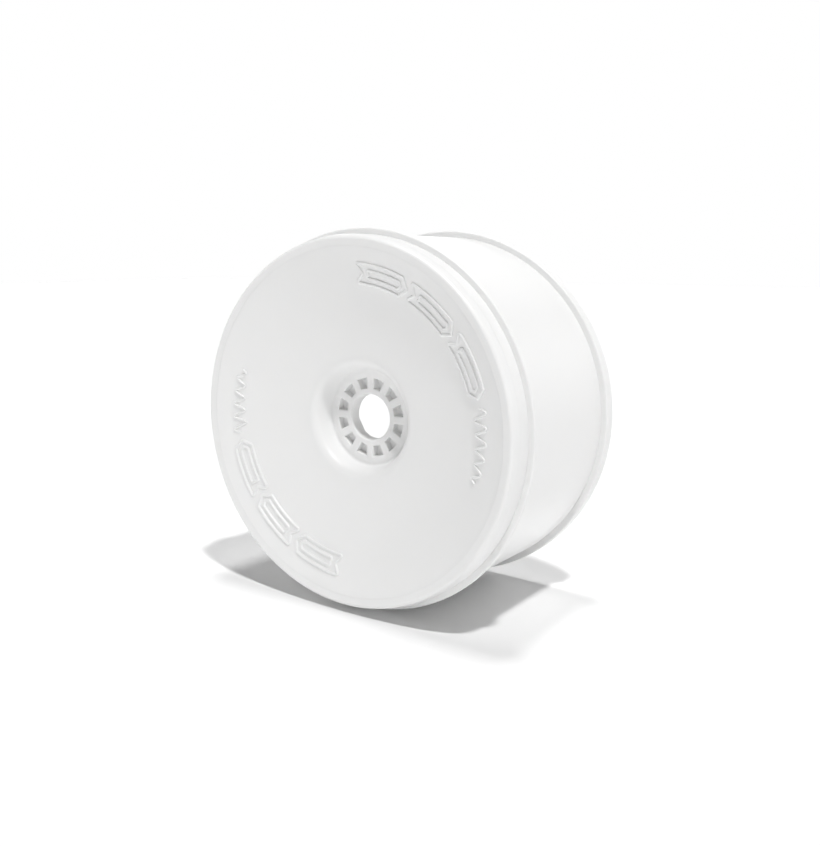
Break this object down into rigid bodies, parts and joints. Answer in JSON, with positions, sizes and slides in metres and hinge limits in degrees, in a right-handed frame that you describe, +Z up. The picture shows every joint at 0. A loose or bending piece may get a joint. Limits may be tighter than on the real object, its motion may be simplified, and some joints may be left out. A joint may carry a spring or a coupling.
{
  "type": "racing wheel",
  "caption": "White moulded dish wheel for a radio-controlled racing truck, with a deep hub recess, blind hub pockets and a hex drive socket behind.",
  "frame": {"origin": "centre of the wheel, on the axle line, halfway between the front nose and the rear edge", "axes": "+Y along the axle towards the vehicle, so the front dish faces -Y; +Z up as the wheel stands on its rim"},
  "size_m": [0.1, 0.054, 0.1],
  "materials": {
    "white_rim": "smooth moulded nylon, satin gloss",
    "white_dish": "fine satin moulded nylon",
    "white_hub": "fine satin moulded nylon",
    "white_ribs": "plain moulded nylon",
    "white_relief": "fine satin moulded nylon"
  },
  "bodies": {
    "root": {"front_lip": "white_rim", "front_bead_seat": "white_rim", "front_bead_ridge": "white_rim", "rim_barrel": "white_rim", "rear_bead_wall": "white_rim", "rear_rim_edge": "white_rim", "dish_face": "white_dish", "hub_recess_wall": "white_dish", "hub_plate": "white_hub", "hub_boss": "white_hub", "hex_drive_socket": "white_hub", "web_rib_1": "white_ribs", "web_rib_2": "white_ribs", "web_rib_3": "white_ribs", "web_rib_4": "white_ribs", "web_rib_5": "white_ribs", "web_rib_6": "white_ribs", "emblem_relief_upper": "white_relief", "emblem_relief_lower": "white_relief"}
  },
  "joints": []
}
